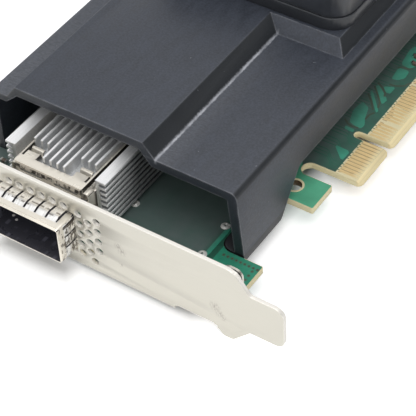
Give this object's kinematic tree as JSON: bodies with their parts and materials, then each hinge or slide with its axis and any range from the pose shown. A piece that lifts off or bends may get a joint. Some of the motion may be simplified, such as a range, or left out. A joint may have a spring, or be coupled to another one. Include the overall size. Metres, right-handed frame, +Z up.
{
  "type": "ethernet adapter card",
  "caption": "Slot card with a gold contact edge, a folded steel bracket, a sprung cage port and a fan shroud over its heatsink; it links a server to a network cable.",
  "frame": {"origin": "on the bracket's outer face, in line with the outer end of the contact edge and level with the board's component side", "axes": "+X towards the contact edge, +Y from the bracket along the board, +Z up from the component side"},
  "size_m": [0.12, 0.1548, 0.0421],
  "materials": {
    "solder_mask": "satin green mask with pale bare laminate edges",
    "gold": "thin gold plating",
    "tin": "bright tin",
    "bracket_steel": "satin nickel plating with faint scuffs",
    "cage_steel": "warm nickel plating",
    "fastener_steel": "zinc plating",
    "connector_plastic": "moulded black",
    "heatsink_aluminium": "plain satin",
    "substrate": "laminate",
    "lid_nickel": "dull nickel",
    "pad": "soft grey",
    "shroud_plastic": "charcoal with fine layer lines",
    "fan_plastic": "smooth black",
    "fan_laminate": "laminate",
    "bronze": "sintered bronze",
    "lamination": "stacked sheet",
    "copper": "enamelled wire",
    "yoke_steel": "drawn steel",
    "magnet": "bonded magnet",
    "shaft_steel": "ground",
    "inductor": "pressed grey powder",
    "capacitor_black": "moulded black",
    "package_black": "moulded black",
    "ceramic": "brown ceramic with tinned ends",
    "lens": "clear pale resin"
  },
  "bodies": {
    "card": {"circuit_board": "solder_mask", "edge_contacts_top": "gold", "edge_contacts_bottom": "gold", "board_eyelets": "tin", "bracket": "bracket_steel", "bracket_nuts": "fastener_steel", "bracket_screws": "fastener_steel", "port_cage": "cage_steel", "spring_collar": "cage_steel", "port_connector": "connector_plastic", "connector_contacts": "gold", "heatsink_clip": "cage_steel", "main_heatsink": "heatsink_aluminium", "heatsink_screws": "fastener_steel", "chip_substrate": "substrate", "chip_lid": "lid_nickel", "thermal_pad": "pad", "shroud": "shroud_plastic", "fan_frame": "fan_plastic", "fan_screws": "fastener_steel", "fan_nuts": "fastener_steel", "fan_board": "fan_laminate", "bearing_sleeve": "bronze", "stator_core": "lamination", "stator_coils": "copper", "power_inductors": "inductor", "bulk_capacitors": "capacitor_black", "regulator_chips": "package_black", "memory_chip": "package_black", "clock_crystal": "tin", "ceramic_capacitors_top": "ceramic", "ceramic_capacitors_bottom": "ceramic", "status_lights": "lens"},
    "rotor": {"impeller": "fan_plastic", "rotor_yoke": "yoke_steel", "rotor_magnet": "magnet", "fan_shaft": "shaft_steel"},
    "port_heatsink": {"riding_heatsink": "heatsink_aluminium"}
  },
  "joints": [
    {"name": "fan_spin", "type": "hinge", "parent": "card", "child": "rotor", "pos_m": [-0.0405, 0.0891, 0.027], "axis": [0, 0, 1], "continuous": true},
    {"name": "heatsink_lift", "type": "slide", "parent": "card", "child": "port_heatsink", "axis": [0, 0, 1], "range_m": [0, 0.0003], "stiffness_N_per_m": 8000, "springref_m": -0.001, "deforming": ["heatsink_clip"]}
  ]
}
